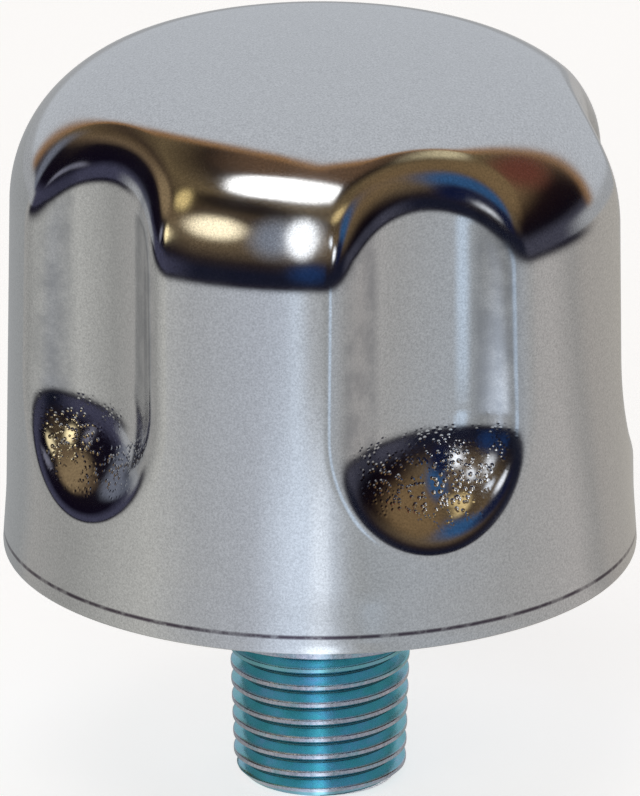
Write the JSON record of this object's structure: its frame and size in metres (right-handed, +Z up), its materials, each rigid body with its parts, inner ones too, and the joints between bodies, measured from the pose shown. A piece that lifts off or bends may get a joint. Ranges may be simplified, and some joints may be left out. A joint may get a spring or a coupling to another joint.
{
  "type": "screw-in breather filter",
  "caption": "Round fluted chromed cap over a pleated filter element, on a collared stem with a tapered male pipe thread and a through bore.",
  "frame": {"origin": "centre of the stem's lower end face, the lowest face of the part", "axes": "+Z up along the stem, the element and the cap; -Y is the side seen nearly square on between two flutes, and the flutes are at 22 degrees from -Y towards +X and every 72 degrees from there"},
  "size_m": [0.048, 0.048, 0.0574],
  "materials": {
    "cap_chrome": "bright chrome over drawn steel, slightly grained",
    "stem_zinc": "blue-passivated bright zinc",
    "plate_zinc": "zinc-plated pressed steel",
    "steel_wire": "drawn steel wire",
    "tin_plate": "tinned sheet",
    "filter_paper": "resin-impregnated paper",
    "foam": "open-cell foam",
    "rubber": "matt nitrile",
    "fibre": "vulcanised fibre"
  },
  "bodies": {
    "root": {"cap_shell": "cap_chrome", "base_plate": "plate_zinc", "threaded_stem": "stem_zinc", "collar_seal": "fibre", "stem_washer": "plate_zinc", "stem_screen": "steel_wire", "splash_baffle": "plate_zinc", "baffle_rivets": "plate_zinc", "vent_screen": "steel_wire", "prefilter_foam": "foam", "foam_retainer": "plate_zinc", "element_gasket": "rubber", "lower_end_cap": "tin_plate", "pleated_media": "filter_paper", "inner_tube": "tin_plate", "outer_guard": "tin_plate", "upper_end_cap": "tin_plate", "demister_pad": "steel_wire", "pad_ring_lower": "steel_wire", "pad_ring_upper": "steel_wire", "element_spring": "steel_wire", "spring_cup": "plate_zinc"}
  },
  "joints": []
}
